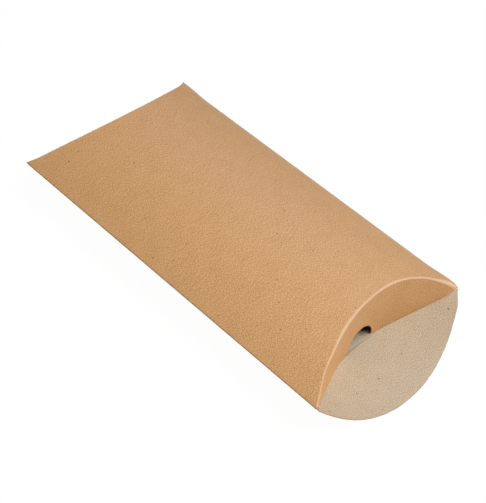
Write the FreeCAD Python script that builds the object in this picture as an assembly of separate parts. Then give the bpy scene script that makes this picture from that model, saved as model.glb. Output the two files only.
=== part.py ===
import FreeCAD
import Part
import math
import os

# A pillow box folded from one blank of kraft paperboard, lying on its belly, in millimetres.
# X runs along the box towards the end whose plain flap is still open, Y runs across it and Z is up.
# The origin is the middle of the flat strip that the belly rests on.

# Driving dimensions
box_width = 100.0          # across the box, corner to corner
box_length = 177.0         # along the box, corner to corner
panel_bulge = 19.1         # rise of a bowed panel out of the plane of the four corners
end_set_back = 16.7        # dip of each curved end crease behind its two corners
flap_reach = 16.0          # reach of the open plain flap beyond its two corners
board = 0.5                # thickness of the paperboard
belly_flat_width = 14.0    # strip of the belly that lies flat on the surface below it
belly_blend_radius = 30.0  # bend between that strip and the bowed panel
score_width = 1.2          # band of board that is pressed along an end crease
score_press = 0.12         # depth of that pressing, on the outer face
side_score_width = 2.5     # band of board that is folded along a side crease
side_fold_radius = 0.6     # outer rounding of a side crease
seam_edge_inset = 0.2      # the top panel's cut edge stops this far inside the corner line
tip_trim = 1.5             # each flap tip stops this far inside the corner line
hinge_gap = 0.15           # room for a flap to turn at its crease
tuck_clearance = 0.3       # room between a tucked flap and what it is tucked against
notch_width = 18.5         # thumb notch in a flap's free edge
notch_depth = 14.5         # height of the notch above that edge
tab_width = 14.0           # glue tab inside the top panel
tab_end_inset = 24.0       # the tab's free edge stops this far short of the corners, at each end
tab_taper = 12.0           # the tab's ends slant by this much over its width
glue_film = 0.1            # thickness of the glue
glue_margin = 2.0          # bare board round the glue on the tab

# Section across the box: the top panel is one arc, the belly is an arc with a flat strip
half_width = box_width / 2
arc_radius = (half_width ** 2 + panel_bulge ** 2) / (2 * panel_bulge)
flat_half = belly_flat_width / 2
blend_reach = arc_radius - belly_blend_radius
belly_sink = blend_reach - math.sqrt(blend_reach ** 2 - flat_half ** 2)
corner_height = panel_bulge - belly_sink
crown_height = corner_height + panel_bulge
top_axis_height = crown_height - arc_radius
belly_axis_height = arc_radius - belly_sink

# Plan of an end: the crease is an arc that dips in, the open flap's edge an arc that swells out
crease_plan_radius = (half_width ** 2 + end_set_back ** 2) / (2 * end_set_back)
crease_plan_axis = box_length / 2 - end_set_back + crease_plan_radius
flap_plan_radius = (half_width ** 2 + flap_reach ** 2) / (2 * flap_reach)
flap_plan_axis = box_length / 2 + flap_reach - flap_plan_radius

# Radii from an end's plan axis, from the outside inwards
tuck_outer = crease_plan_radius - board
upper_fold = crease_plan_radius + hinge_gap
upper_panel_end = upper_fold + score_width
open_flap_start = crease_plan_radius - score_width / 2 - hinge_gap
open_fold = crease_plan_radius - score_width / 2
open_panel_end = crease_plan_radius + score_width / 2
inner_flap_outer = crease_plan_radius + tuck_clearance
inner_flap_inner = inner_flap_outer + board
inner_panel_end = inner_flap_inner + score_width

# Raw stock reaches past the finished pieces on every side
stock = box_length / 2 + flap_reach + end_set_back
tall = crown_height + 2 * panel_bulge
side_cut = half_width - side_score_width
tip_cut = half_width - tip_trim

NEAR = 1
FAR = -1
ALONG = FreeCAD.Vector(1, 0, 0)
UP = FreeCAD.Vector(0, 0, 1)


def section_point(y, z):
    """A point of the cross-section at the far end of the stock."""
    return FreeCAD.Vector(-stock, y, z)


def arc(centre_y, centre_z, radius, from_angle, to_angle):
    """Edge of the cross-section: an arc about a centre, angles measured from +Y towards +Z."""
    middle = (from_angle + to_angle) / 2
    points = [
        section_point(centre_y + radius * math.cos(a), centre_z + radius * math.sin(a))
        for a in (from_angle, middle, to_angle)
    ]
    return Part.Arc(*points).toShape()


def under_top(inset):
    """All that lies under the top panel's outer face, moved inwards by an inset."""
    base = section_point(0, top_axis_height)
    return Part.makeCylinder(arc_radius - inset, 2 * stock, base, ALONG)


def over_belly(inset):
    """All that lies over the belly's outer face, moved inwards by an inset: flat strip, blends and arcs."""
    down = -math.pi / 2
    lean = math.asin(flat_half / blend_reach)
    radius = arc_radius - inset
    blend = belly_blend_radius - inset
    left = section_point(-radius, belly_axis_height)
    right = section_point(radius, belly_axis_height)
    edges = [
        arc(0, belly_axis_height, radius, -math.pi, down - lean),
        arc(-flat_half, belly_blend_radius, blend, down - lean, down),
        Part.makeLine(section_point(-flat_half, inset), section_point(flat_half, inset)),
        arc(flat_half, belly_blend_radius, blend, down, down + lean),
        arc(0, belly_axis_height, radius, down + lean, 0),
        Part.makeLine(right, left),
    ]
    return Part.Face(Part.Wire(edges)).extrude(ALONG * 2 * stock)


def between_panels(top_inset, belly_inset):
    """The inside of the bowed tube, with its own inset from each panel's outer face."""
    return under_top(top_inset).common(over_belly(belly_inset))


def top_board(outer_inset, inner_inset):
    """A layer of board that follows the top panel."""
    return under_top(outer_inset).cut(under_top(inner_inset)).common(over_belly(0))


def belly_board(outer_inset, inner_inset):
    """A layer of board that follows the belly."""
    return over_belly(outer_inset).cut(over_belly(inner_inset)).common(under_top(0))


def across(low_y, high_y):
    """Everything between two planes across the box."""
    corner = FreeCAD.Vector(-stock, low_y, -tall)
    return Part.makeBox(2 * stock, high_y - low_y, 3 * tall, corner)


def end_bite(end, radius):
    """Upright cylinder about one end's plan axis."""
    base = FreeCAD.Vector(end * crease_plan_axis, 0, -tall)
    return Part.makeCylinder(radius, 3 * tall, base, UP)


def end_band(end, outer, inner):
    """Upright wall that follows one end's crease, between two radii from its plan axis."""
    return end_bite(end, inner).cut(end_bite(end, outer))


def trimmed_tips(shape, reach):
    """A flap with its two tips cut square at a reach to each side of the middle."""
    return shape.common(across(-reach, reach))


def thumb_notch(end):
    """Round-topped cutter for the notch in the free edge of a flap tucked down from the top panel."""
    free_edge = board + tuck_clearance
    radius = notch_width / 2
    centre_height = free_edge + notch_depth - radius
    middle = end * (box_length / 2 - end_set_back) - end_set_back
    base = FreeCAD.Vector(middle, 0, centre_height)
    round_top = Part.makeCylinder(radius, 2 * end_set_back, base, ALONG)
    corner = FreeCAD.Vector(middle, -radius, -tall)
    throat = Part.makeBox(2 * end_set_back, notch_width, tall + centre_height, corner)
    return round_top.fuse(throat)


def make_top_panel():
    """Bowed top panel: folded at -Y, a cut edge that closes the seam at +Y, curved creases at both ends."""
    panel = top_board(0, board).common(across(-side_cut, half_width - seam_edge_inset))
    for end in (NEAR, FAR):
        panel = panel.cut(end_bite(end, upper_panel_end))
    return panel


def make_bottom_panel():
    """Bowed bottom panel with the flat strip that the box rests on."""
    panel = belly_board(0, board).common(across(-side_cut, side_cut))
    panel = panel.cut(end_bite(NEAR, open_panel_end))
    return panel.cut(end_bite(FAR, inner_panel_end))


def make_side_crease():
    """Folded board between the two panels along -Y: two layers that run into one rounded edge."""
    axis_drop = arc_radius - panel_bulge
    inner = arc_radius - board
    rounding_y = -math.sqrt((arc_radius - side_fold_radius) ** 2 - axis_drop ** 2)
    inner_tip_y = -math.sqrt(inner ** 2 - axis_drop ** 2)
    round_from = math.acos(rounding_y / (arc_radius - side_fold_radius))
    tip = math.acos(inner_tip_y / inner)
    outer_cut = math.acos(-side_cut / arc_radius)
    inner_cut = math.acos(-side_cut / inner)
    outline = [
        arc(0, top_axis_height, arc_radius, outer_cut, round_from),
        arc(rounding_y, corner_height, side_fold_radius, round_from, 2 * math.pi - round_from),
        arc(0, belly_axis_height, arc_radius, -round_from, -outer_cut),
        arc(0, belly_axis_height, inner, -inner_cut, -tip),
        arc(0, top_axis_height, inner, tip, inner_cut),
    ]
    ends = [edge.valueAt(edge.LastParameter) for edge in outline]
    starts = [edge.valueAt(edge.FirstParameter) for edge in outline]
    outline.insert(3, Part.makeLine(ends[2], starts[3]))
    outline.append(Part.makeLine(ends[4], starts[0]))
    fold = Part.Face(Part.Wire(outline)).extrude(ALONG * 2 * stock)
    for end in (NEAR, FAR):
        fold = fold.cut(end_bite(end, upper_fold))
    return fold


def make_seam_crease():
    """Folded board between the bottom panel and its glue tab, under the top panel's cut edge at +Y."""
    tab_face = board + glue_film
    fold = between_panels(tab_face, 0).cut(between_panels(tab_face + board, board))
    fold = fold.common(across(side_cut, 2 * half_width))
    for end in (NEAR, FAR):
        fold = fold.cut(end_bite(end, upper_fold))
    return fold


def tab_plan(margin):
    """Upright prism over the glue tab's plan, drawn in by a margin: its ends slant towards the free edge."""
    root_x = box_length / 2 - tab_end_inset + tab_taper - margin
    free_x = box_length / 2 - tab_end_inset - margin
    root_y = side_cut - margin
    free_y = side_cut - tab_width + margin
    corners = [(-root_x, root_y), (root_x, root_y), (free_x, free_y), (-free_x, free_y)]
    points = [FreeCAD.Vector(x, y, 0) for x, y in corners]
    return Part.Face(Part.makePolygon(points + points[:1])).extrude(UP * tall)


def make_glue_tab():
    """Tab that turns up from the seam crease and lies inside the top panel."""
    outer = board + glue_film
    return top_board(outer, outer + board).common(tab_plan(0))


def make_glue_line():
    """Film of glue between the tab and the top panel."""
    return top_board(board, board + glue_film).common(tab_plan(glue_margin))


def make_upper_crease(end):
    """Pressed and folded band where the top panel turns down into its flap."""
    band = top_board(score_press, board).common(end_band(end, upper_fold, upper_panel_end))
    return band.common(across(-side_cut, side_cut))


def make_lower_crease(end, outer, inner):
    """Pressed band along the end of the bottom panel."""
    band = belly_board(score_press, board).common(end_band(end, outer, inner))
    return band.common(across(-side_cut, side_cut))


def make_notched_flap(end):
    """Flap tucked down from the top panel: an upright wall, bowed inwards, with a thumb notch."""
    inside = between_panels(0, board + tuck_clearance)
    wall = trimmed_tips(inside.common(end_band(end, tuck_outer, crease_plan_radius)), tip_cut)
    return wall.cut(thumb_notch(end))


def make_inner_flap():
    """Plain flap turned up from the bottom panel, behind the tucked flap at the closed end."""
    inside = between_panels(board + tuck_clearance, 0)
    wall = inside.common(end_band(FAR, inner_flap_outer, inner_flap_inner))
    return trimmed_tips(wall, side_cut - tuck_clearance)


def make_open_flap():
    """Plain flap that still lies open, in line with the belly."""
    base = FreeCAD.Vector(flap_plan_axis, 0, -tall)
    outline = Part.makeCylinder(flap_plan_radius, 3 * tall, base, UP)
    lens = outline.common(end_bite(NEAR, open_flap_start))
    return trimmed_tips(belly_board(0, board).common(lens), tip_cut)


pieces = {
    "top_panel": make_top_panel(),
    "bottom_panel": make_bottom_panel(),
    "side_crease": make_side_crease(),
    "seam_crease": make_seam_crease(),
    "glue_tab": make_glue_tab(),
    "glue_line": make_glue_line(),
    "near_upper_crease": make_upper_crease(NEAR),
    "near_lower_crease": make_lower_crease(NEAR, open_fold, open_panel_end),
    "far_upper_crease": make_upper_crease(FAR),
    "far_lower_crease": make_lower_crease(FAR, inner_flap_inner, inner_panel_end),
    "near_upper_flap": make_notched_flap(NEAR),
    "near_lower_flap": make_open_flap(),
    "far_upper_flap": make_notched_flap(FAR),
    "far_lower_flap": make_inner_flap(),
}

os.makedirs("parts", exist_ok=True)
for name, shape in pieces.items():
    solid = shape.removeSplitter()
    solid.exportStep("parts/" + name + ".step")
    box = solid.BoundBox
    print(
        name, len(solid.Solids), "solid, valid", solid.isValid(), "volume", round(solid.Volume, 1),
        "x", round(box.XMin, 2), round(box.XMax, 2), "y", round(box.YMin, 2), round(box.YMax, 2),
        "z", round(box.ZMin, 2), round(box.ZMax, 2),
    )
print("corner height", round(corner_height, 3), "crown height", round(crown_height, 3))
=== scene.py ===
# %% [markdown]
# # A pillow box of kraft board
# A pillow box is one die-cut blank of paperboard. Two straight folds make it a flat tube, and curved creases at the
# ends bow the tube into a pillow when the flaps are tucked in. This box has one flap left open at the near end.
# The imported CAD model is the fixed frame: it gives the places, the bodies and the joints. Each piece of board is
# then drawn again here as a thin layer with rounded folds, so that the render shows paper and not plain solids.

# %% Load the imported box
import math

import bpy
import numpy as np
from mathutils import Matrix


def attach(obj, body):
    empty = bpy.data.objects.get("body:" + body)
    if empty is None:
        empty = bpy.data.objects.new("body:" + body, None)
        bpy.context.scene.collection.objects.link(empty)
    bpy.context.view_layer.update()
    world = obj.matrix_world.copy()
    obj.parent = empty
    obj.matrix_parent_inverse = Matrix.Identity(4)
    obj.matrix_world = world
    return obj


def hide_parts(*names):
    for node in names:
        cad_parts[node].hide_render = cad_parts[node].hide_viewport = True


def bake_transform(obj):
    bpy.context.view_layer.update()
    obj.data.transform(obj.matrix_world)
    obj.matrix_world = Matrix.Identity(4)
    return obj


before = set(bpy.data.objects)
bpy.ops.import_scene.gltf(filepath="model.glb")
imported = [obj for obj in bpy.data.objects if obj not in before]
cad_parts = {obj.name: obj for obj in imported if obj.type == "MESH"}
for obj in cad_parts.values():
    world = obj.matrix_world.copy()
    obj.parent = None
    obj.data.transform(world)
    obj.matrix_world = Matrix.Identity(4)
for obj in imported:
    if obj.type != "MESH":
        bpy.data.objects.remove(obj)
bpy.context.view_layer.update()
print("CAD nodes:", ", ".join(sorted(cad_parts)))

# %% [markdown]
# ## Sizes
# Everything below follows from a few sizes of the folded box, in metres. They are the ones the CAD solids were made
# with, so a layer drawn from them lies exactly where its solid is. Only the rounding of the folds is new.

# %% Sizes of the folded box
MM = 0.001
half_width = 50.0 * MM
half_length = 88.5 * MM
panel_bulge = 19.1 * MM
end_set_back = 16.7 * MM
flap_reach = 16.0 * MM
board = 0.5 * MM
flat_half = 7.0 * MM
belly_bend = 30.0 * MM
side_cut = 47.5 * MM
tuck_clearance = 0.3 * MM
score_half = 0.6 * MM
fold_radius = 0.8 * MM

arc_radius = (half_width ** 2 + panel_bulge ** 2) / (2 * panel_bulge)
bend_reach = arc_radius - belly_bend
belly_sink = bend_reach - math.sqrt(bend_reach ** 2 - flat_half ** 2)
corner_height = panel_bulge - belly_sink
top_axis = corner_height + panel_bulge - arc_radius
belly_axis = arc_radius - belly_sink
plan_radius = (half_width ** 2 + end_set_back ** 2) / (2 * end_set_back)
plan_axis = half_length - end_set_back + plan_radius
tuck_radius = plan_radius - board
flap_radius = (half_width ** 2 + flap_reach ** 2) / (2 * flap_reach)
flap_axis = half_length + flap_reach - flap_radius
print(f"panels bow on a radius of {arc_radius / MM:.1f} mm, end creases on {plan_radius / MM:.1f} mm")

# %% [markdown]
# ## The curves that the board follows
# Seen from the end, each panel is an arc of a circle, and the belly has a narrow flat strip to lie on. Seen from
# above, each end crease is an arc that dips in. A crease is where such a lying cylinder meets an upright one, so
# these few functions of y are enough to place every piece of board.

# %% Section and plan curves


def top_height(y, inset=0.0):
    """Height of the top panel: a circle about a lengthwise axis, its radius less the inset."""
    return top_axis + np.sqrt((arc_radius - inset) ** 2 - y ** 2)


def belly_height(y, inset=0.0):
    """Height of the belly: a flat strip, a tighter bend beside it, then a circle like the top panel's."""
    beside = np.maximum(np.abs(y) - flat_half, 0.0)
    bend = belly_bend - np.sqrt(np.maximum((belly_bend - inset) ** 2 - beside ** 2, 0.0))
    bow = belly_axis - np.sqrt((arc_radius - inset) ** 2 - y ** 2)
    return np.where(np.abs(y) < (arc_radius - inset) * flat_half / bend_reach, bend, bow)


def crease_x(y, radius=plan_radius):
    """Plan of an end crease, counted outwards: a circle about an upright axis out beyond the end."""
    return plan_axis - np.sqrt(radius ** 2 - y ** 2)


def open_edge_x(y):
    """Plan of the open flap's cut edge: a circle that swells out from the corners."""
    return flap_axis + np.sqrt(flap_radius ** 2 - y ** 2)


def round_the_arc(y):
    """Length of board from the crown to a point of a bowed panel: radius times angle."""
    return arc_radius * np.arcsin(y / arc_radius)


crown_x, corner_x = crease_x(0.0), crease_x(half_width)
print(f"the crease is at x {crown_x / MM:.1f} mm at the crown and {corner_x / MM:.1f} mm at a corner")

# %% [markdown]
# ## Marks of the hand
# A box that someone has folded isn't perfect. The near crease is softer in places and a little pushed in beside its
# corners. On the seam's side the near corner swells out to a blunt tip, and the far corner is lifted. The tucked flap
# stands slightly askew: its foot is out on one side and in on the other. This could be sculpted by hand, but bell
# curves and smooth steps say where and how much, and they give the same box on every run.

# %% Small irregularities


def bell(y, middle, width):
    """Bell curve of height 1 at a middle in millimetres: exp of minus the square of distance over width."""
    return np.exp(-((y - middle * MM) / (width * MM)) ** 2)


def smooth(t):
    """Smooth step from 0 to 1: three t squared less two t cubed."""
    t = np.clip(t, 0.0, 1.0)
    return t * t * (3 - 2 * t)


# Marks on the seam side's corners, in millimetres: which end, where the mark starts along the box and how far it
# takes to grow, the same across the box, and how far the very corner moves.
corner_marks = {
    "near corner swells out": (1, (68.0, 14.0), (36.0, 10.0), (0.0, 0.45, 0.45)),
    "near tip is blunt": (1, (84.0, 4.5), (43.0, 7.0), (-1.8, 0.0, -1.0)),
    "far corner is lifted": (-1, (70.0, 18.0), (38.0, 12.0), (-0.3, 0.5, 0.6)),
}


def work_corners(place):
    """Adds every corner mark: its move times a smooth step along the box times a smooth step across it."""
    x, y = place[..., :1] / MM, place[..., 1:2] / MM
    moved = place
    for end, (start_x, span_x), (start_y, span_y), move in corner_marks.values():
        share = smooth((end * x - start_x) / span_x) * smooth((y - start_y) / span_y)
        moved = moved + share * np.array(move) * MM
    return moved


def flap_face(y, end):
    """Plan of a tucked flap's outer face at its fold, counted outwards: the crease's circle less a push.

    The near end is pushed in beside its corners, and the far end is drawn out at its left one. The smooth steps take
    the last 5 mm before a corner.
    """
    left, right = smooth((-y / MM - 45) / 5), smooth((y / MM - 45) / 5)
    push = 0.9 * bell(y, -40, 7) - 0.4 * bell(y, -4, 12) + 0.8 * left + 0.4 * right
    return crease_x(y, tuck_radius) - np.where(end > 0, push, -0.6 * left) * MM


def flap_foot(y, end):
    """Plan of a tucked flap's outer face at its free edge: under the crease, and at the near end askew."""
    askew = (2.1 * bell(y, -33, 16) - 1.55 * bell(y, 10, 15)) * MM * (1 - (y / half_width) ** 8)
    return crease_x(y, tuck_radius) + askew * (end > 0)


corner = np.array([[half_length, half_width, corner_height]])
print("the blunted corner moves by", np.round((work_corners(corner) - corner)[0] / MM, 2), "mm")

# %% [markdown]
# ## How round a fold is
# Board of half a millimetre doesn't fold to a knife edge. Its outer face goes round on a radius of somewhat more than
# the board. Towards the corners the crease runs at a slant to both faces, so the same round is longer when it is
# measured along the box.

# %% Width of the rounded fold
hard_press = 0.7
gap_share = 0.9


def slant_factor(y):
    """How much longer the round is, measured along the box: a right angle over the turn times the slant's sine."""
    slope_x = y / np.sqrt(tuck_radius ** 2 - y ** 2)
    slope_z = -y / (top_height(y) - top_axis)
    length = np.sqrt(1 + slope_x ** 2 + slope_z ** 2)
    slant = np.abs(slope_x - slope_z) / (math.sqrt(2) * length)
    panel_cos = 1 / np.sqrt(1 + slope_z ** 2)
    wall_cos = 1 / np.sqrt(1 + slope_x ** 2)
    turn = np.arccos(slope_z * panel_cos * slope_x * wall_cos)
    return (math.pi / 2) / (turn * np.sqrt(1 - slant ** 2))


def tucked_gap(y):
    """Height between the top panel's outer face and the place where a tucked flap's edge comes to rest."""
    return top_height(y) - belly_height(y, board) - tuck_clearance


def fold_round(y, end):
    """Radius of a fold along its crease: the usual radius times the slant times how softly it is pressed.

    The far folds are pressed harder, the near one is softer in places, and both run out to nothing at the corners,
    where the radius stays under a share of the gap.
    """
    softer = 0.3 + 0.8 * bell(y, -21, 11) + 0.3 * bell(y, 6, 10) + 1.8 * bell(y, 46, 7)
    pressed = hard_press + softer * (end > 0)
    return np.clip(np.minimum(fold_radius * slant_factor(y) * pressed, gap_share * tucked_gap(y)), 0.0, None)


def fold_start(y, end):
    """Where the top panel ends and its fold begins: the flap's outer face less the fold's radius."""
    return flap_face(y, end) - fold_round(y, end)


sample_y = np.array([0.0, 24.0, 40.0, 48.0]) * MM
print("fold radius in mm at y 0, 24, 40 and 48:", np.round(fold_round(sample_y, 1) / MM, 2))

# %% [markdown]
# ## Colours and nodes
# Colours are written as they look on screen, in sRGB hex, and Blender's shaders want linear light, so one function
# converts them. A second one adds a node, sets it and links it, which keeps each material short to read.

# %% Helpers for materials


def ink(code):
    """Linear RGBA of an sRGB hex colour."""
    srgb = np.array([int(code[i:i + 2], 16) for i in (1, 3, 5)]) / 255
    linear = np.where(srgb <= 0.04045, srgb / 12.92, ((srgb + 0.055) / 1.055) ** 2.4)
    return (*linear.tolist(), 1.0)


def add(tree, kind, inputs=None, **settings):
    """Adds a node with its settings. An input that is a socket is linked, and a plain value is set."""
    made = tree.nodes.new(kind)
    for key, value in settings.items():
        setattr(made, key, value)
    for key, value in (inputs or {}).items():
        if isinstance(value, bpy.types.NodeSocket):
            tree.links.new(value, made.inputs[key])
        else:
            made.inputs[key].default_value = value
    return made


def new_material(name):
    """An empty node material with its output."""
    made = bpy.data.materials.new(name)
    made.use_nodes = True
    made.node_tree.nodes.clear()
    return made, made.node_tree, made.node_tree.nodes.new("ShaderNodeOutputMaterial")


print("kraft brown in linear light:", [round(c, 3) for c in ink("#C6945F")])

# %% [markdown]
# ## The board's two faces
# Kraft board is pressed from wood pulp. Its outer face is a brown liner with fine fibres, a soft cloudy mottle and
# small dark specks of bark. The back is greyer, because it is made of recycled pulp, with shorter fibres and fewer
# but larger specks. A scanned picture could be wrapped round the box, but noise that is scaled to real fibres needs
# no file and has no seams. Both papers are one recipe with different settings, and each face also knows the other
# side's colour: a flap that is pulled through shows it, so which way a face looks decides the paper. The pattern
# reads an attribute called blank, which holds where each point lay on the flat blank, so that fibres run on across a
# fold. A second attribute called fold makes the paper paler above zero and darker below zero. Above zero it is the
# stretched liner of a fold, and on the near upper fold it is also a painted highlight. Below zero it is painted shade
# along the side folds, the far upper fold and the bead inside the near lower crease.

# %% The recipe for paper
cloud_share = 0.07
empty_cells = 0.45
speck_cover = 0.75
pale_least, pale_more = 0.75, 0.35
fibre_relief, relief_share = 0.06 * MM, 0.06
refraction = 1.47


def paper_colour(tree, dark, pale, speck_and_fold_shade, stretched_and_highlight, fibre, cloud, contrast, speck_step, speck_size):
    """Colour and fibre noise of a paper.

    Fibre noise plus a share of cloudy mottle mixes the dark tone with the pale one. A Voronoi cell whose random value
    is high enough has a speck, the part of it that is nearer to the middle than a radius. Where the fold attribute is
    below zero the speck's tone covers the paper as painted shade. Where it is above zero the pale tone of stretched
    liner and painted highlight covers it.
    """
    middle = 0.5 + cloud_share / 2
    blank = add(tree, "ShaderNodeAttribute", attribute_name="blank").outputs["Vector"]
    fold_tone = add(tree, "ShaderNodeAttribute", attribute_name="fold").outputs["Fac"]
    along, across = fibre
    grain = add(tree, "ShaderNodeMapping", {"Vector": blank, "Scale": (1 / along, 1 / across, 1 / across)})
    fibres = add(tree, "ShaderNodeTexNoise", {
        "Vector": grain.outputs[0], "Scale": 1.0, "Detail": 2.0, "Roughness": 0.6})
    clouds = add(tree, "ShaderNodeTexNoise", {"Vector": blank, "Scale": 1 / cloud, "Detail": 2.0, "Roughness": 0.5})
    summed = add(tree, "ShaderNodeMath", {0: clouds.outputs[0], 1: cloud_share, 2: fibres.outputs[0]},
                 operation="MULTIPLY_ADD")
    tone = add(tree, "ShaderNodeMapRange", {
        "Value": summed.outputs[0], "From Min": middle - contrast, "From Max": middle + contrast})
    woven = add(tree, "ShaderNodeMix", {0: tone.outputs[0], 6: ink(dark), 7: ink(pale)}, data_type="RGBA")
    cells = add(tree, "ShaderNodeTexVoronoi", {"Vector": blank, "Scale": 1 / speck_step}, voronoi_dimensions="2D")
    picked = add(tree, "ShaderNodeSeparateColor", {0: cells.outputs["Color"]})
    size = add(tree, "ShaderNodeMapRange", {
        "Value": picked.outputs[0], "From Min": empty_cells, "From Max": 1.0,
        "To Min": 0.0, "To Max": speck_size / speck_step})
    inside = add(tree, "ShaderNodeMath", {0: cells.outputs["Distance"], 1: size.outputs[0]}, operation="LESS_THAN")
    depth = add(tree, "ShaderNodeMath", {0: inside.outputs[0], 1: speck_cover}, operation="MULTIPLY")
    # Below zero the fold attribute is painted shade: it mixes in the speck's dark tone.
    fold_shade = add(tree, "ShaderNodeMath", {0: fold_tone, 1: -1.0}, operation="MULTIPLY", use_clamp=True)
    darkened = add(tree, "ShaderNodeMath", {0: depth.outputs[0], 1: fold_shade.outputs[0]}, operation="MAXIMUM")
    specked_and_shaded = add(tree, "ShaderNodeMix", {
        0: darkened.outputs[0], 6: woven.outputs[2], 7: ink(speck_and_fold_shade)}, data_type="RGBA")
    # Above zero the fold attribute pales the paper. This is stretched liner, and on the near upper fold it is also a
    # painted highlight.
    uneven = add(tree, "ShaderNodeMath", {0: tone.outputs[0], 1: pale_more, 2: pale_least},
                 operation="MULTIPLY_ADD")
    paled = add(tree, "ShaderNodeMath", {0: fold_tone, 1: uneven.outputs[0]}, operation="MULTIPLY", use_clamp=True)
    colour = add(tree, "ShaderNodeMix", {
        0: paled.outputs[0], 6: specked_and_shaded.outputs[2], 7: ink(stretched_and_highlight)}, data_type="RGBA")
    return colour.outputs[2], fibres.outputs[0]


def paper_face(name, front, behind):
    """Uncoated paper: one colour from the front, the other side's from behind, rougher where the fibres rise."""
    material, tree, output = new_material(name)
    front_colour, fibres = paper_colour(tree, **front)
    behind_colour, _ = paper_colour(tree, **behind)
    side = add(tree, "ShaderNodeNewGeometry").outputs["Backfacing"]
    colour = add(tree, "ShaderNodeMix", {0: side, 6: front_colour, 7: behind_colour}, data_type="RGBA")
    rough = add(tree, "ShaderNodeMapRange", {"Value": fibres, "To Min": 0.55, "To Max": 0.75})
    bump = add(tree, "ShaderNodeBump", {"Height": fibres, "Strength": relief_share, "Distance": fibre_relief})
    shader = add(tree, "ShaderNodeBsdfPrincipled", {
        "Base Color": colour.outputs[2], "Roughness": rough.outputs[0], "Normal": bump.outputs[0],
        "IOR": refraction, "Specular IOR Level": 0.3})
    tree.links.new(shader.outputs[0], output.inputs[0])
    return material


print(f"specks in {1 - empty_cells:.0%} of the cells of a paper's pattern")

# %% [markdown]
# The settings are lengths on the real paper. The fibres of the pattern are under a millimetre long and lie along the
# box, and the mottle is about as wide as a fingertip.

# %% Kraft liner and recycled back
# Uncoated kraft liner: matt brown, with dark specks of bark up to 0.7 mm across.
# The speck tone also paints the shade on folds. The stretched tone is stretched liner, and on the near upper fold it
# is also a painted highlight.
liner = dict(
    dark="#B4834A", pale="#D5AC81", speck_and_fold_shade="#6E4A2A", stretched_and_highlight="#CCAE94",
    fibre=(0.7 * MM, 0.3 * MM), cloud=8 * MM, contrast=0.095, speck_step=8 * MM, speck_size=0.36 * MM)
# Uncoated back of recycled pulp: matt grey-beige, with shorter fibres and fewer specks, but up to 1.1 mm across.
back = dict(
    dark="#A18C71", pale="#C6B9A4", speck_and_fold_shade="#6A4C30", stretched_and_highlight="#D6C2A4",
    fibre=(0.5 * MM, 0.3 * MM), cloud=7 * MM, contrast=0.075, speck_step=13 * MM, speck_size=0.55 * MM)
kraft_liner = paper_face("kraft_liner", liner, back)
kraft_back = paper_face("recycled_back", back, liner)
print("paper faces:", kraft_liner.name, kraft_back.name)

# %% [markdown]
# ## Cut edges and glue
# A steel rule cuts the blank, and the cut shows the pulp end on: darker, because light sinks between the fibres, with
# streaks along the edge. The seam is held by white glue that has dried to a thin, slightly glossy film.

# %% Die-cut edge and dried glue
# Pulp cut by a steel rule: rough, with streaks about half a millimetre apart.
die_cut_edge, tree, output = new_material("die_cut_edge")
place = add(tree, "ShaderNodeTexCoord").outputs["Object"]
streaks = add(tree, "ShaderNodeTexNoise", {"Vector": place, "Scale": 1 / (0.5 * MM), "Detail": 2.0})
pulp = add(tree, "ShaderNodeMix", {
    0: streaks.outputs[0], 6: ink("#9C7F5C"), 7: ink("#C4A883")}, data_type="RGBA")
shader = add(tree, "ShaderNodeBsdfPrincipled", {"Base Color": pulp.outputs[2], "Roughness": 0.9, "IOR": refraction})
tree.links.new(shader.outputs[0], output.inputs[0])

# Dried white glue: a satin film with ripples about 3 mm apart.
dried_glue, tree, output = new_material("dried_white_glue")
place = add(tree, "ShaderNodeTexCoord").outputs["Object"]
ripple = add(tree, "ShaderNodeTexNoise", {"Vector": place, "Scale": 1 / (3 * MM), "Detail": 2.0})
film = add(tree, "ShaderNodeMix", {
    0: ripple.outputs[0], 6: ink("#C9B48C"), 7: ink("#E4DAC0")}, data_type="RGBA")
relief = add(tree, "ShaderNodeBump", {"Height": ripple.outputs[0], "Strength": 0.4, "Distance": 0.1 * MM})
shader = add(tree, "ShaderNodeBsdfPrincipled", {
    "Base Color": film.outputs[2], "Roughness": 0.3, "IOR": refraction, "Normal": relief.outputs[0]})
tree.links.new(shader.outputs[0], output.inputs[0])
print("other finishes:", die_cut_edge.name, dried_glue.name)

# %% [markdown]
# ## A layer of board
# Every piece is the same kind of thing: a thin layer with an outer face, an inner face and a cut edge round it. So
# one function takes two grids of points, the outer face and the inner face, and closes them with a rim. A modifier
# could thicken a single face, but with two grids the folds keep their true inner radius, and each side gets its own
# paper. The signed volume shows whether the faces point outwards, and turns them if they don't.

# %% The layer builder
sharp_turn = math.radians(42)


def points(x, y, z):
    """Grid of points from three arrays that broadcast together."""
    return np.stack(np.broadcast_arrays(x, y, z), axis=-1).astype(float)


def facing(grid):
    """Unit normals of a grid: the cross product of its steps along both parameters."""
    normal = np.cross(np.gradient(grid, axis=0), np.gradient(grid, axis=1))
    return normal / np.linalg.norm(normal, axis=2, keepdims=True)


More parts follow.
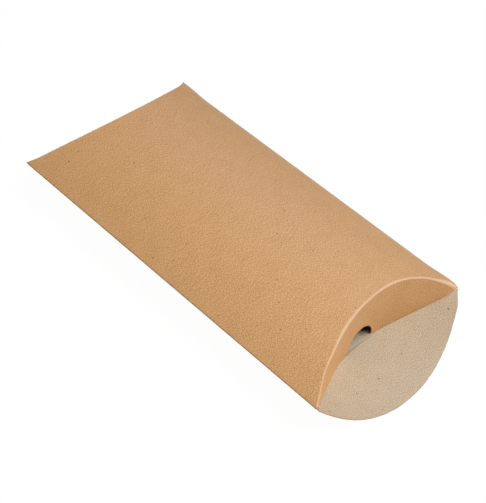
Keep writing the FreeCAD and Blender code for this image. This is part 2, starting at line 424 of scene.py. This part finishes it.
def layer(name, outer, inner, blank, fold=0.0, inner_fold=0.0, finishes=None):
    """Closed thin layer: outer grid, inner grid turned over, and a rim of quads round the edge.

    The faces are turned if the signed volume is below zero: the sum of triple products of their corners.
    """
    rows, columns = outer.shape[:2]
    count = rows * columns
    index = np.arange(count).reshape(rows, columns)
    quads = np.stack([index[:-1, :-1], index[1:, :-1], index[1:, 1:], index[:-1, 1:]], axis=-1).reshape(-1, 4)
    ring = np.concatenate([index[:-1, 0], index[-1, :-1], index[:0:-1, -1], index[0, :0:-1]])
    ahead = np.roll(ring, -1)
    rim = np.stack([ahead, ring, ring + count, ahead + count], axis=-1)
    faces = np.concatenate([quads, quads[:, ::-1] + count, rim])
    side = np.repeat([0, 1, 2], [len(quads), len(quads), len(rim)])
    place = work_corners(np.concatenate([outer.reshape(-1, 3), inner.reshape(-1, 3)]))
    a, b, c, d = (place[faces[:, k]] for k in range(4))
    if np.einsum("ij,ij->", a, np.cross(b, c) + np.cross(c, d)) < 0:
        faces = faces[:, ::-1]
    mesh = bpy.data.meshes.new(name)
    mesh.from_pydata(place.tolist(), [], faces.tolist())
    for finish in finishes or (kraft_liner, kraft_back, die_cut_edge):
        mesh.materials.append(finish)
    mesh.polygons.foreach_set("material_index", side.astype(np.int32))
    mesh.polygons.foreach_set("use_smooth", np.ones(len(faces), dtype=bool))
    flat = np.broadcast_to(blank, outer.shape).reshape(-1, 3)
    mesh.attributes.new("blank", "FLOAT_VECTOR", "POINT").data.foreach_set(
        "vector", np.concatenate([flat, flat]).astype(np.float32).ravel())
    fold_tone = np.stack([np.broadcast_to(fold, (rows, columns)), np.broadcast_to(inner_fold, (rows, columns))])
    mesh.attributes.new("fold", "FLOAT", "POINT").data.foreach_set("value", fold_tone.astype(np.float32).ravel())
    mesh.set_sharp_from_angle(angle=sharp_turn)
    mesh.update()
    made = bpy.data.objects.new(name, mesh)
    bpy.context.scene.collection.objects.link(made)
    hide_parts(name.removesuffix("_board"))
    print(f"{made.name}: {len(faces)} faces")
    return made


print(f"edges that turn by more than {math.degrees(sharp_turn):.0f} degrees stay sharp")

# %% [markdown]
# ## The two bowed panels
# Each panel is a strip of a lying cylinder. Its grid runs along the box from the far fold to the near fold, and
# across it from side to side, so both ends follow the curved creases by themselves. The inner face is the same
# section moved in by the thickness of the board.

# %% Top panel and bottom panel
tube_pieces = []
seam_edge = half_width - 0.2 * MM
y = np.linspace(-side_cut, seam_edge, 181)[None, :]
along_share = np.linspace(0, 1, 121)[:, None]
x = -fold_start(y, -1) + (fold_start(y, 1) + fold_start(y, -1)) * along_share
outer = points(x, y, top_height(y))
normal = points(0 * x, y, top_height(y) - top_axis) / arc_radius
tube_pieces.append(layer("top_panel_board", outer, outer - board * normal, points(x, round_the_arc(y), 0)))

half_round = round_the_arc(half_width)


def belly_blank(x, y):
    """Where belly board lay on the flat blank: beyond the -Y fold, counted back from it."""
    return points(x, -2 * half_round - round_the_arc(y), 0)


inner_flap_radius = plan_radius + tuck_clearance
y = np.linspace(-side_cut, side_cut, 181)[None, :]
far_x = fold_round(y, -1) - crease_x(y, inner_flap_radius)
x = far_x + (crease_x(y, plan_radius + score_half) - far_x) * along_share
outer = points(x, y, belly_height(y))
inner = outer + board * facing(outer)
tube_pieces.append(layer("bottom_panel_board", outer, inner, belly_blank(x, y)))

# %% [markdown]
# ## The side fold and the seam
# On one side the blank is simply folded. On the other side the belly's board turns back inside as a glue tab, and the
# top panel's cut edge lies over it. Both folds are one section carried along the box: an arc of the upper board, a
# small round, and an arc of the belly. The section is written by the direction its normal points in, so the inner
# face has the same normals on smaller radii.

# %% Section of a side fold
side_round = 0.6 * MM


def side_section(upper_inset):
    """Centres, radii and normal angles of a side fold's section, the angles measured from straight up."""
    upper = arc_radius - upper_inset
    near_upper, near_lower = upper - side_round, arc_radius - side_round
    height = (near_upper ** 2 - near_lower ** 2 + belly_axis ** 2 - top_axis ** 2) / (2 * (belly_axis - top_axis))
    reach = math.sqrt(near_upper ** 2 - (height - top_axis) ** 2)
    upper_turn = math.asin(reach / near_upper)
    lower_turn = math.pi - math.asin(reach / near_lower)
    steps = (12, 17, 12)
    angle = np.concatenate([
        np.linspace(math.asin(side_cut / upper), upper_turn, steps[0]),
        np.linspace(upper_turn, lower_turn, steps[1] + 2)[1:-1],
        np.linspace(lower_turn, math.pi - math.asin(side_cut / arc_radius), steps[2])])
    centre_y = np.repeat([0.0, reach, 0.0], steps)
    centre_z = np.repeat([top_axis, height, belly_axis], steps)
    radius = np.repeat([upper, side_round, arc_radius], steps)
    share = np.clip((angle - upper_turn) / (lower_turn - upper_turn), 0, 1)
    return angle, centre_y, centre_z, radius, share


print(f"a side fold turns on a radius of {side_round / MM:.1f} mm")

# %% [markdown]
# The section is carried along the box, from the far creases to the near ones. Upper and lower crease lie apart, so
# the ends pass from one to the other by a smooth step round the fold. The fold attribute is below zero round the
# fold: this is painted shade, which darkens the round where it turns under.

# %% Side fold and seam fold
side_fold_shade = 0.6
seam_set_back = 2 * MM
glue_film = 0.1 * MM
tab_inset = board + glue_film


def side_fold(name, side, upper_inset, upper_end):
    """Section of a side fold carried along the box, its ends cut back along the end creases."""
    angle, centre_y, centre_z, radius, share = (row[None, :] for row in side_section(upper_inset))
    y = side * (centre_y + radius * np.sin(angle))
    z = centre_z + radius * np.cos(angle)
    lower_share = smooth(share)
    near_x = upper_end(y, 1) * (1 - lower_share) + crease_x(y, plan_radius + score_half) * lower_share
    far_lower = crease_x(y, inner_flap_radius) - fold_round(y, -1)
    far_x = -upper_end(y, -1) * (1 - lower_share) - far_lower * lower_share
    x = far_x + (near_x - far_x) * along_share
    outer = points(x, y, z)
    inner = outer - board * points(0 * x, side * np.sin(angle), np.cos(angle))
    length = np.concatenate([[0.0], np.cumsum(np.hypot(np.diff(y[0]), np.diff(z[0])))])[None, :]
    blank = points(x, side * (round_the_arc(side_cut) + length), 0)
    # Below zero round the fold: painted shade where the round turns under.
    return layer(name, outer, inner, blank, fold=-side_fold_shade * np.sin(math.pi * share))


def seam_end(y, end):
    """End of the seam fold, the same at both ends: cut back so that it stays behind the tucked flaps."""
    return crease_x(y, plan_radius + seam_set_back)


tube_pieces.append(side_fold("side_crease_board", -1, 0.0, fold_start))
tube_pieces.append(side_fold("seam_crease_board", 1, tab_inset, seam_end))

# %% [markdown]
# The glue tab lies under the top panel, and a thin film of glue holds the two together. Glue squeezes out unevenly,
# so the film's outline wanders by half a millimetre.

# %% Glue tab and glue
tab_width = 14 * MM
tab_set_back = 12 * MM
tab_slant = 12 * MM
glue_margin = 2 * MM
glue_wander = 0.5 * MM
tab_root, tab_free = side_cut, side_cut - tab_width
tab_half_length = half_length - tab_set_back


def inside_top(name, inset, thickness, margin, wander, finishes=None):
    """Layer under the top panel on the glue tab's plan, drawn in by a margin and by two sines along its outline."""
    across = np.linspace(-1, 1, 25)[None, :]
    along = np.linspace(-1, 1, 161)[:, None]
    wave = 0.6 * np.sin(61 * along) + 0.4 * np.sin(23 * along + 1)
    y = (tab_root + tab_free) / 2 + across * ((tab_root - tab_free) / 2 - margin - wander * (1 + wave) / 2)
    x = along * (tab_half_length - margin - tab_slant * (tab_root - y) / (tab_root - tab_free))
    outer = points(x, y, top_height(y, inset))
    normal = points(0 * x, y, top_height(y, inset) - top_axis) / (arc_radius - inset)
    blank = points(x, 3 * half_round - round_the_arc(y), 0)
    return layer(name, outer, outer - thickness * normal, blank, finishes=finishes)


tube_pieces.append(inside_top("glue_tab_board", tab_inset, board, 0.0, 0.0))
glue_film_piece = inside_top("glue_line", board, glue_film, glue_margin, glue_wander, (dried_glue,) * 3)

# %% [markdown]
# ## The curved end folds
# This is the feature that makes a pillow box. A quarter round joins the top panel, which is bowed about a lying axis,
# to a flap that is bowed about an upright one. At every y the round leaves the panel level along the box and enters
# the flap straight down, so it is smooth with both. A bevel could round the edge, but it would know nothing of the
# slant at the corners. At the near end the fold attribute makes the round paler with a sine that is pushed to peak
# past half way round. This is partly stretched liner and partly a painted highlight. At the far end the same sine
# below zero is painted shade on the round.

# %% Upper folds at both ends
crease_tip = 49.35 * MM
peak_shift, peak_breadth = 1.9, 0.8
# The last of these is the share of painted shade on the far upper fold's round.
far_fold_shade = 0.2


def upper_fold(name, end):
    """Quarter round along an end crease: x goes with the sine of the turn, z with its cosine."""
    y = np.linspace(-crease_tip, crease_tip, 241)[None, :]
    turn = np.linspace(0, math.pi / 2, 21)[:, None]
    radius = fold_round(y, end)
    start = fold_start(y, end)
    outer = points(end * (start + radius * np.sin(turn)), y, top_height(y) - radius * (1 - np.cos(turn)))
    thickness = np.minimum(board, 0.8 * radius / slant_factor(y))[..., None]
    inner = outer - end * thickness * facing(outer)
    blank = points(end * (start + radius * turn), round_the_arc(y), 0)
    round_tone = np.sin(math.pi * (2 * turn / math.pi) ** peak_shift) ** peak_breadth
    # The near round is paler, partly stretched liner and partly painted highlight. The far round is darkened with
    # painted shade.
    return layer(name, outer, inner, blank, fold=round_tone if end > 0 else -far_fold_shade * round_tone)


tube_pieces += [upper_fold("near_upper_crease_board", 1), upper_fold("far_upper_crease_board", -1)]

# %% [markdown]
# The lower crease at the near end isn't folded yet. A creasing rule has pressed a groove into the outer face, and the
# pulp stands up as a soft bead inside. At the far end the belly's flap is turned up, with the same round as above.

# %% Lower folds
bead = 0.1 * MM
score_press = 0.12 * MM
y = np.linspace(-crease_tip, crease_tip, 241)[None, :]
v = np.linspace(-1, 1, 15)[:, None]
hump = 0.5 * (1 + np.cos(math.pi * v))
x = crease_x(y, plan_radius - score_half * v)
outer = points(x, y, belly_height(y) + score_press * hump)
belly = points(x, y, belly_height(y))
inner = belly + (board + bead * hump)[..., None] * facing(belly)
# Inside the bead the fold attribute is below zero in the middle of the crease: a line of painted shade along the
# bead.
tube_pieces.append(layer(
    "near_lower_crease_board", outer, inner, belly_blank(x, y), fold=0.4 * hump,
    inner_fold=-0.5 * hump * bell(y, -3, 11)))

y = np.linspace(-side_cut, side_cut, 201)[None, :]
turn = np.linspace(0, math.pi / 2, 21)[:, None]
radius = fold_round(y, -1)
x = radius - crease_x(y, inner_flap_radius) - radius * np.sin(turn)
outer = points(x, y, belly_height(y) + radius * (1 - np.cos(turn)))
inner = outer - board * facing(outer)
tube_pieces.append(layer("far_lower_crease_board", outer, inner, belly_blank(x - radius * turn, y),
                         fold=np.sin(2 * turn) ** 0.6))

# %% [markdown]
# ## The flaps
# A tucked flap is an upright wall that hangs from its fold. Its columns of points sit where its outline needs them:
# along the straight edge and, closer together, round the arch of the thumb notch. The arch is half of a superellipse,
# steeper on one side than on the other. A boolean could cut the notch, but it would leave long thin faces that bend
# badly when the flap moves.

# %% Tucked flaps with a thumb notch
notch_top = -1.0 * MM
notch_left, notch_right = 5.7 * MM, 12.9 * MM
notch_height = 13.3 * MM
steep_power, gentle_power = 3.2, 1.8
flap_tip = 48.6 * MM
least_height = 0.05 * MM


def notch_outline():
    """Columns of a notched flap and the rise of its free edge: one less |s| to a power, to one over that power."""
    side = np.sin(np.linspace(-math.pi / 2, math.pi / 2, 91))
    power = np.where(side < 0, steep_power, gentle_power)
    arch = (1 - np.abs(side) ** power) ** (1 / power)
    inside = notch_top + np.where(side < 0, notch_left, notch_right) * side
    left = np.linspace(-flap_tip, inside[0], 61)[:-1]
    right = np.linspace(inside[-1], flap_tip, 61)[1:]
    columns = np.concatenate([left, inside, right])
    rise = np.concatenate([0 * left, arch, 0 * right])
    return columns, rise * notch_height


def tucked_flap(name, end):
    """Wall from the end of the fold down to the free edge, x going from the fold's plan to the foot's plan."""
    columns, rise = (row[None, :] for row in notch_outline())
    v = np.linspace(0, 1, 41)[:, None]
    top = top_height(columns) - fold_round(columns, end)
    foot = np.minimum(belly_height(columns, board) + tuck_clearance, top - least_height)
    z = top + (np.minimum(foot + rise, top - least_height) - top) * v
    face = flap_face(columns, end)
    x = end * (face + (flap_foot(columns, end) - face) * (top - z) / (top - foot))
    outer = points(x, columns, z)
    normal = points(end * (plan_axis - crease_x(columns)), -columns, 0) / plan_radius
    blank = points(end * (face + top - z), round_the_arc(columns), 0)
    return layer(name, outer, outer - board * normal, blank)


near_upper_flap = tucked_flap("near_upper_flap_board", 1)
far_upper_flap = tucked_flap("far_upper_flap_board", -1)

# %% [markdown]
# The open flap is a lens of board between the crease and its own cut edge, still in line with the belly. Its edge
# isn't quite a circle, because a steel rule is bent by hand. The inner flap of the far end is hidden behind the
# notched one: a plain wall that rises from the lower fold.

# %% Open flap and the hidden inner flap
open_tip = 49.5 * MM
inner_tip = 47.2 * MM
y = np.linspace(-open_tip, open_tip, 201)[None, :]
start_x = crease_x(y, plan_radius - score_half)
rule_bend = (0.5 * bell(y, -35, 12) - 0.4 * bell(y, 44, 7)) * MM
x = start_x + (open_edge_x(y) + rule_bend - start_x) * np.linspace(0, 1, 61)[:, None]
outer = points(x, y, belly_height(y))
near_lower_flap = layer("near_lower_flap_board", outer, outer + board * facing(outer), belly_blank(x, y))

y = np.linspace(-inner_tip, inner_tip, 161)[None, :]
low = belly_height(y) + fold_round(y, -1)
z = low + (top_height(y, board + tuck_clearance) - low) * np.linspace(0, 1, 41)[:, None]
x = -crease_x(y, inner_flap_radius) + 0 * z
outer = points(x, y, z)
normal = points(-plan_axis - x, -y, 0) / inner_flap_radius
tube_pieces.append(layer("far_lower_flap_board", outer, outer - board * normal, belly_blank(x - (z - low), y)))

# %% [markdown]
# ## Bodies
# The tube carries everything that stays still: its pieces and the glue ride on the tube's body. Each flap that moves
# is fixed to the tube along its curved crease and turns more and more away from it. A curved crease lies close to
# a slanted plane, so rigid flaps on straight hinges would tear away from their creases. Here the moving flaps only
# have their placement baked into their points; they get no body and no blend.

# %% Ride and bake
for piece in tube_pieces + [glue_film_piece]:
    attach(piece, "tube")


def blend_flap(piece):
    """Bakes a flap's placement into its points: no blend is made and no body is given."""
    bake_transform(piece)


for piece, body, end in ((near_upper_flap, "near_upper", 1), (far_upper_flap, "far_upper", -1)):
    blend_flap(piece)
blend_flap(near_lower_flap)
print("blended:", near_upper_flap.name, far_upper_flap.name, near_lower_flap.name)

# %% [markdown]
# ## The floor
# The box lies on a white sweep of paper. A truly white floor would throw much light back up onto the tucked flap, so
# the floor is a mid grey. To the camera it looks white through Light Path, and it keeps a trace of its real shading,
# so that the box still has a contact shadow.

# %% White floor
whiteness = 0.94
white_strength = 1.035
floor_reach = 3.0
floor_z = -0.1 * MM
floor_paper, tree, output = new_material("white_sweep")
path = add(tree, "ShaderNodeLightPath")
seen = add(tree, "ShaderNodeMath", {0: path.outputs["Is Camera Ray"], 1: path.outputs["Is Glossy Ray"]},
           operation="ADD")
seen = add(tree, "ShaderNodeMath", {0: seen.outputs[0], 1: path.outputs["Is Transmission Ray"]},
           operation="ADD", use_clamp=True)
share = add(tree, "ShaderNodeMath", {0: seen.outputs[0], 1: whiteness}, operation="MULTIPLY")
matt = add(tree, "ShaderNodeBsdfDiffuse", {"Color": ink("#B8B8B8")})
white = add(tree, "ShaderNodeEmission", {"Color": (1, 1, 1, 1), "Strength": white_strength})
both = add(tree, "ShaderNodeMixShader", {0: share.outputs[0], 1: matt.outputs[0], 2: white.outputs[0]})
tree.links.new(both.outputs[0], output.inputs[0])

floor_mesh = bpy.data.meshes.new("floor")
corners = [(x * floor_reach, y * floor_reach, floor_z) for x, y in ((-1, -1), (1, -1), (1, 1), (-1, 1))]
floor_mesh.from_pydata(corners, [], [(0, 1, 2, 3)])
floor_mesh.materials.append(floor_paper)
floor = bpy.data.objects.new("floor", floor_mesh)
bpy.context.scene.collection.objects.link(floor)
print(f"floor {2 * floor_reach:.0f} m wide, just under the belly")

# %% [markdown]
# ## The light
# The picture has the soft light of a studio. A large lamp stands high over the near end, two lower and warmer ones
# light the right and the left, and the world fills in a little from all round. A cool lamp behind the box, like a
# window, is left out of the diffuse light: it only adds the faint gloss along the crown.

# %% Lamps and world
world = bpy.data.worlds.new("studio")
bpy.context.scene.world = world
world.use_nodes = True
tree = world.node_tree
tree.nodes.clear()
output = tree.nodes.new("ShaderNodeOutputWorld")
path = add(tree, "ShaderNodeLightPath")
fill = add(tree, "ShaderNodeBackground", {"Color": (1, 1, 1, 1), "Strength": 0.02})
backdrop = add(tree, "ShaderNodeBackground", {"Color": (1, 1, 1, 1), "Strength": 1.0})
both = add(tree, "ShaderNodeMixShader", {
    0: path.outputs["Is Camera Ray"], 1: fill.outputs[0], 2: backdrop.outputs[0]})
tree.links.new(both.outputs[0], output.inputs[0])


def softbox(name, place, aim, size, power, tint="#FFFFFF"):
    """Square area lamp at a place, turned so that its -Z axis points at an aim."""
    lamp = bpy.data.lights.new(name, "AREA")
    lamp.size, lamp.energy, lamp.color = size, power, ink(tint)[:3]
    made = bpy.data.objects.new(name, lamp)
    away = np.array(place) - np.array(aim)
    away = away / np.linalg.norm(away)
    right = np.cross((0, 0, 1), away)
    right = right / np.linalg.norm(right)
    up = np.cross(away, right)
    made.matrix_world = Matrix([(right[i], up[i], away[i], place[i]) for i in range(3)] + [(0, 0, 0, 1)])
    bpy.context.scene.collection.objects.link(made)
    return made


aim = (0.02, 0.0, 0.02)
softbox("key", (0.38, 0.02, 0.94), aim, 0.6, 10.1)
softbox("right", (0.86, 0.48, 0.28), aim, 0.6, 4.8, "#FFF4E6")
softbox("left", (0.02, -0.97, 0.28), aim, 0.6, 3.4, "#FFEFDC")
window = softbox("window", (-0.20, 0.54, 0.66), aim, 0.5, 5.0, "#C8D8FF")
window.visible_diffuse = False
print("lamps:", ", ".join(lamp.name for lamp in bpy.data.lights))

# %% [markdown]
# ## The camera
# The camera's place, turn and lens were found by fitting the box's corners, creases and outlines to the photograph.
# The three axes are those of the picture: to the right, down and ahead. Blender's cameras look along their own -Z
# with +Y up, so two of the axes change sign.

# %% Camera at the photograph's place
right = (0.71737552, 0.67907983, 0.15563723)
down = (0.57549552, -0.45170282, -0.68174003)
ahead = (-0.39265412, 0.57863214, -0.71484795)
spot = (197.10 * MM, -284.89 * MM, 357.00 * MM)
lens = bpy.data.cameras.new("camera")
lens.sensor_width = 36.0
lens.lens = 77.256
lens.clip_start = 0.01
camera = bpy.data.objects.new("camera", lens)
camera.matrix_world = Matrix([(right[i], -down[i], -ahead[i], spot[i]) for i in range(3)] + [(0, 0, 0, 1)])
bpy.context.scene.collection.objects.link(camera)
bpy.context.scene.camera = camera
bpy.context.scene.view_settings.view_transform = "Standard"
print("camera at", spot)

# %% [markdown]
# ## Finish
# The view layer is brought up to date at the end.

# %% Finish
bpy.context.view_layer.update()
